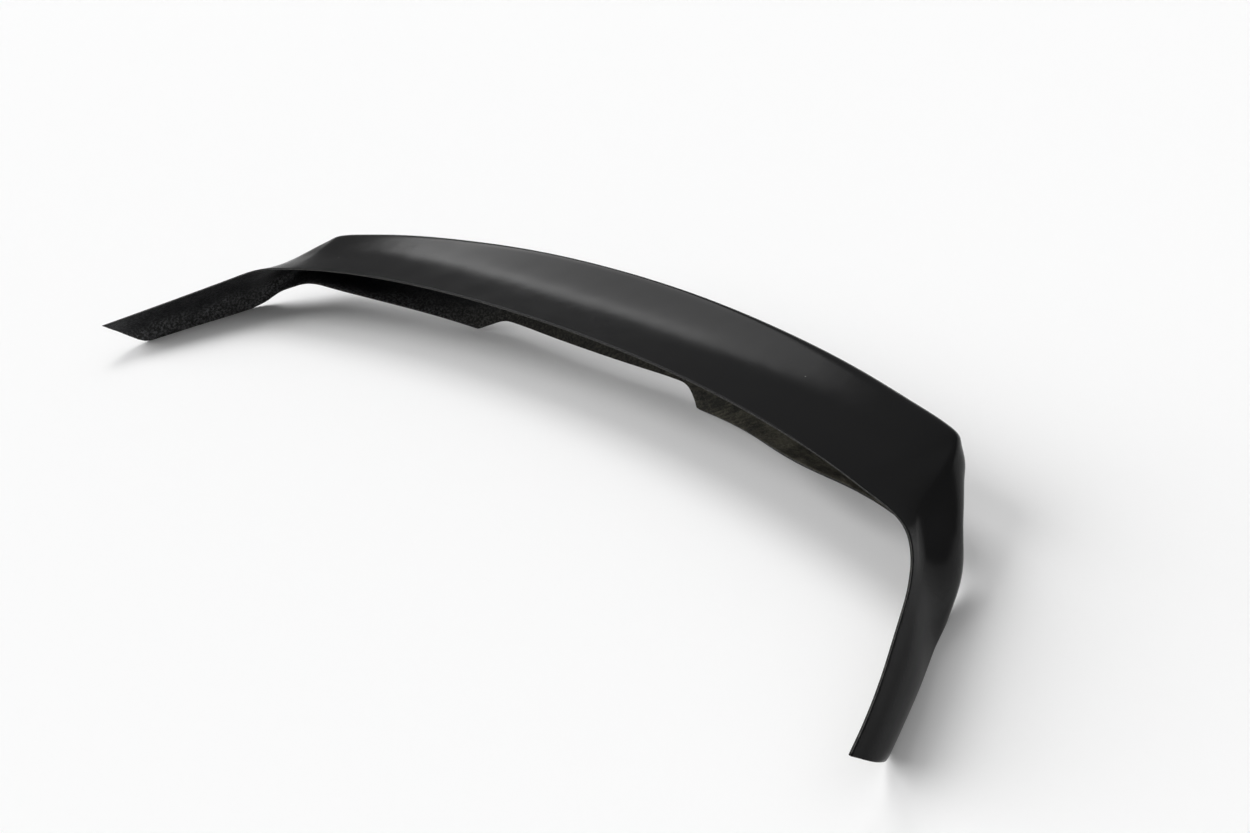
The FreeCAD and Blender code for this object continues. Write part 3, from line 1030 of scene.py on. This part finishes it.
def add_light(light, way, reach):
    """A light that shines on the origin from a given way."""
    made = bpy.data.objects.new(light.name, light)
    made.location = way * reach
    made.rotation_euler = (-way).to_track_quat("-Z", "Y").to_euler()
    bpy.context.collection.objects.link(made)
    return made


def build_back_lamp():
    """The round lamp behind the blade."""
    lamp = bpy.data.lights.new("back_lamp", "SUN")
    lamp.angle = math.radians(BACK_LAMP_SPREAD)
    lamp.energy = BACK_LAMP_RADIANCE * math.pi * math.tan(lamp.angle / 2) ** 2
    add_light(lamp, heading(BACK_LAMP_TURN, BACK_LAMP_RISE), LAMP_REACH)


def build_strip_lamp():
    """The tilted strip of light behind the blade."""
    strip = bpy.data.lights.new("strip_lamp", "AREA")
    strip.shape = "RECTANGLE"
    strip.size = 2 * LAMP_REACH * math.tan(math.radians(STRIP_LENGTH / 2))
    strip.size_y = 2 * LAMP_REACH * math.tan(math.radians(STRIP_BREADTH / 2))
    strip.energy = STRIP_RADIANCE * math.pi * strip.size * strip.size_y
    made = add_light(strip, heading(STRIP_TURN, STRIP_RISE), LAMP_REACH * STRIP_NEARER)
    made.rotation_euler.rotate_axis("Z", math.radians(STRIP_TILT))


def build_broad_light():
    """The broad light from the far side, which casts the soft shadow."""
    sun = bpy.data.lights.new("broad_light", "SUN")
    sun.energy = BROAD_LIGHT_ENERGY
    sun.angle = math.radians(BROAD_LIGHT_SPREAD)
    add_light(sun, heading(BROAD_LIGHT_TURN, BROAD_LIGHT_RISE), LAMP_REACH)


def build_camera():
    """The camera at the photograph's viewing angle."""
    data = bpy.data.cameras.new("camera")
    data.sensor_width = CAMERA_SENSOR
    data.lens = CAMERA_LENS
    camera = bpy.data.objects.new("camera", data)
    aim = Vector(CAMERA_WAY).to_track_quat("-Z", "Y").to_matrix().to_4x4()
    roll = Matrix.Rotation(math.radians(CAMERA_ROLL), 4, "Z")
    camera.matrix_world = Matrix.Translation(CAMERA_PLACE) @ aim @ roll
    bpy.context.collection.objects.link(camera)
    bpy.context.scene.camera = camera


build_spoiler()
build_floor()
build_world()
build_back_lamp()
build_strip_lamp()
build_broad_light()
build_camera()
bpy.context.scene.view_settings.view_transform = "Standard"
